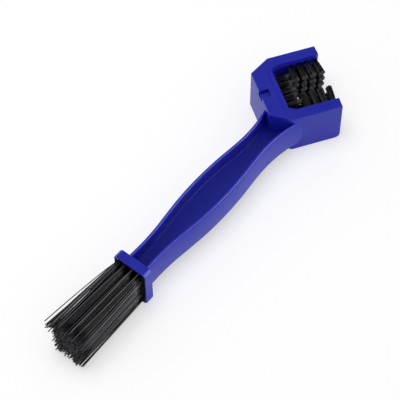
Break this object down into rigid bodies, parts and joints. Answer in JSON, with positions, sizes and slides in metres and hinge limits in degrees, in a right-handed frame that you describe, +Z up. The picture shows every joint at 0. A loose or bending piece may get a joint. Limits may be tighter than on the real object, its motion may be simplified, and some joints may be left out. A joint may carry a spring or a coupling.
{
  "type": "bike chain cleaner",
  "caption": "Hand brush for a bicycle chain: an I-section grip with a U-shaped head, tufted on its inner faces, and a long stiff brush at the other end.",
  "frame": {"origin": "middle of the ground that the brush covers when it lies on its flat sides", "axes": "+X along the grip, from the end brush to the head; +Y towards the upper arm; +Z up"},
  "size_m": [0.2718, 0.0644, 0.034],
  "materials": {
    "blue_plastic": "satin moulded polypropylene, ultramarine blue",
    "black_plastic": "matt moulded polypropylene, black",
    "bristle": "satin extruded nylon, charcoal black",
    "anchor_metal": "plain rolled steel strip"
  },
  "bodies": {
    "root": {"handle": "blue_plastic", "tuft_carrier": "blue_plastic", "end_tuft_block": "black_plastic", "upper_tuft_row_1": "bristle", "upper_tuft_row_2": "bristle", "upper_tuft_row_3": "bristle", "upper_tuft_row_4": "bristle", "upper_tuft_row_5": "bristle", "back_tuft_row_1": "bristle", "back_tuft_row_2": "bristle", "back_tuft_row_3": "bristle", "back_tuft_row_4": "bristle", "back_tuft_row_5": "bristle", "lower_tuft_row_1": "bristle", "lower_tuft_row_2": "bristle", "lower_tuft_row_3": "bristle", "lower_tuft_row_4": "bristle", "lower_tuft_row_5": "bristle", "end_tuft_row_1": "bristle", "end_tuft_row_2": "bristle", "end_tuft_row_3": "bristle", "end_tuft_row_4": "bristle", "upper_anchors": "anchor_metal", "back_anchors": "anchor_metal", "lower_anchors": "anchor_metal", "end_anchors": "anchor_metal"}
  },
  "joints": []
}
